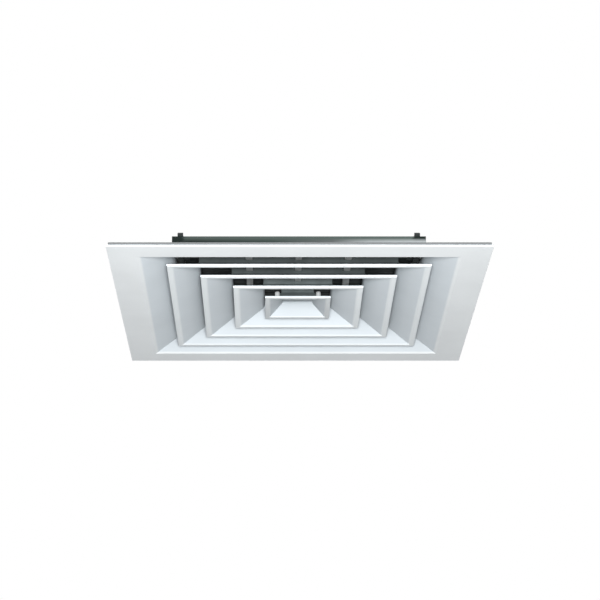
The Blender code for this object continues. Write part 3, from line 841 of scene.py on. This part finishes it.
class OUTLET_OT_stage(bpy.types.Operator):
    """Add the floor, the white surroundings, the soft lamps and the camera"""

    bl_idname = "outlet.stage"
    bl_label = "Stage"

    def execute(self, context):
        scene = context.scene
        stage = scene.outlet_stage
        scene.view_settings.view_transform = "Standard"
        self.add_floor(stage)
        self.set_world(scene, stage)
        self.add_lamps(stage)
        self.add_camera(scene, stage)
        return {"FINISHED"}

    def add_floor(self, stage):
        """A pale floor that the lamps light, and that is paler still where it is looked at."""
        bm = bmesh.new()
        bmesh.ops.create_grid(bm, x_segments=1, y_segments=1, size=FLOOR_HALF_WIDTH)
        mesh = bpy.data.meshes.new("floor")
        bm.to_mesh(mesh)
        bm.free()
        floor = bpy.data.objects.new("floor", mesh)
        floor.location.z = -stage.floor_drop
        bpy.context.scene.collection.objects.link(floor)
        material, tree, shader = new_material("pale_floor")
        shader.inputs["Roughness"].default_value = 0.9
        patches = add_noise(tree, add_coordinates(tree), scale=3.0)
        tree.links.new(add_colours(tree, patches, FLOOR_TONES), shader.inputs["Base Color"])
        pale = tree.nodes.new("ShaderNodeEmission")
        pale.inputs["Color"].default_value = (*WHITE, 1.0)
        pale.inputs["Strength"].default_value = FLOOR_PALENESS
        share = add_math(tree, "MULTIPLY", looked_at(tree), FLOOR_PALE_SHARE)
        lit = shader.outputs["BSDF"]
        set_surface(tree, "Material Output", share, lit, pale.outputs["Emission"])
        mesh.materials.append(material)

    def set_world(self, scene, stage):
        """White where it is looked at or reflected, and much weaker where it lights the outlet."""
        world = bpy.data.worlds.new("surroundings")
        scene.world = world
        world.use_nodes = True
        tree = world.node_tree
        fill = tree.nodes["Background"]
        fill.inputs["Color"].default_value = FILL_TINT
        fill.inputs["Strength"].default_value = stage.fill
        white = tree.nodes.new("ShaderNodeBackground")
        white.inputs["Color"].default_value = (*WHITE, 1.0)
        white.inputs["Strength"].default_value = 1.0
        light = fill.outputs["Background"]
        set_surface(tree, "World Output", looked_at(tree), light, white.outputs["Background"])

    def add_lamp(self, name, power, place, target, size, colour=WHITE):
        """A square soft lamp that neither the camera nor a reflection shows."""
        light = bpy.data.lights.new(name, "AREA")
        light.shape = "SQUARE"
        light.size = size
        light.energy = power
        light.color = colour
        lamp = bpy.data.objects.new(name, light)
        lamp.location = place
        aim = Vector(target) - Vector(place)
        lamp.rotation_euler = aim.to_track_quat("-Z", "Y").to_euler()
        lamp.visible_camera = False
        lamp.visible_glossy = False
        bpy.context.scene.collection.objects.link(lamp)

    def add_lamps(self, stage):
        """One lamp low in front, a weak one low behind, and one for the outlet's back."""
        face = (0.0, 0.0, 0.0)
        back = (0.0, 0.0, 0.03)
        self.add_lamp(
            "front_lamp", stage.key_power, place=(0.0, -2.01, -0.62), target=face, size=0.4,
            colour=(1.0, 0.99, 0.985),
        )
        self.add_lamp(
            "back_lamp", stage.back_power, place=(0.0, 1.95, -0.79), target=face, size=0.4
        )
        self.add_lamp("top_lamp", stage.top_power, place=(0.6, 0.9, 1.3), target=back, size=0.8)

    def add_camera(self, scene, stage):
        """The camera below and in front, which looks up at the face."""
        data = bpy.data.cameras.new("photo_camera")
        data.sensor_width = 36.0
        data.lens = stage.lens
        data.shift_x = stage.shift
        camera = bpy.data.objects.new("photo_camera", data)
        camera.location = stage.eye
        camera.rotation_euler = (math.pi / 2 + stage.look_up, 0.0, 0.0)
        scene.collection.objects.link(camera)
        scene.camera = camera


class OUTLET_PT_panel(bpy.types.Panel):
    """Sizes, colours and the steps that finish the outlet"""

    bl_idname = "OUTLET_PT_panel"
    bl_label = "Square Air Outlet"
    bl_space_type = "VIEW_3D"
    bl_region_type = "UI"
    bl_category = "Outlet"

    def draw(self, context):
        layout = self.layout
        for title, group in (
            ("Paint", context.scene.outlet_paint),
            ("Metal", context.scene.outlet_metal),
            ("Damper", context.scene.outlet_damper),
            ("Stage", context.scene.outlet_stage),
        ):
            box = layout.box()
            box.label(text=title)
            for name in group.__annotations__:
                box.prop(group, name)
        for operator in OPERATORS:
            layout.operator(operator.bl_idname)


GROUPS = {
    "outlet_paint": OutletPaint,
    "outlet_metal": OutletMetal,
    "outlet_damper": OutletDamper,
    "outlet_stage": OutletStage,
}
OPERATORS = (
    OUTLET_OT_frame,
    OUTLET_OT_cones,
    OUTLET_OT_core_fittings,
    OUTLET_OT_flange_back,
    OUTLET_OT_damper_frame,
    OUTLET_OT_damper_blades,
    OUTLET_OT_stage,
)


def register():
    for group in GROUPS.values():
        bpy.utils.register_class(group)
    for operator in OPERATORS:
        bpy.utils.register_class(operator)
    bpy.utils.register_class(OUTLET_PT_panel)
    for name, group in GROUPS.items():
        setattr(bpy.types.Scene, name, bpy.props.PointerProperty(type=group))


def unregister():
    for name in GROUPS:
        delattr(bpy.types.Scene, name)
    bpy.utils.unregister_class(OUTLET_PT_panel)
    for operator in reversed(OPERATORS):
        bpy.utils.unregister_class(operator)
    for group in reversed(GROUPS.values()):
        bpy.utils.unregister_class(group)


def main():
    register()
    bpy.ops.outlet.frame()
    bpy.ops.outlet.cones()
    bpy.ops.outlet.core_fittings()
    bpy.ops.outlet.flange_back()
    bpy.ops.outlet.damper_frame()
    bpy.ops.outlet.damper_blades()
    bpy.ops.outlet.stage()


if __name__ == "__main__":
    main()
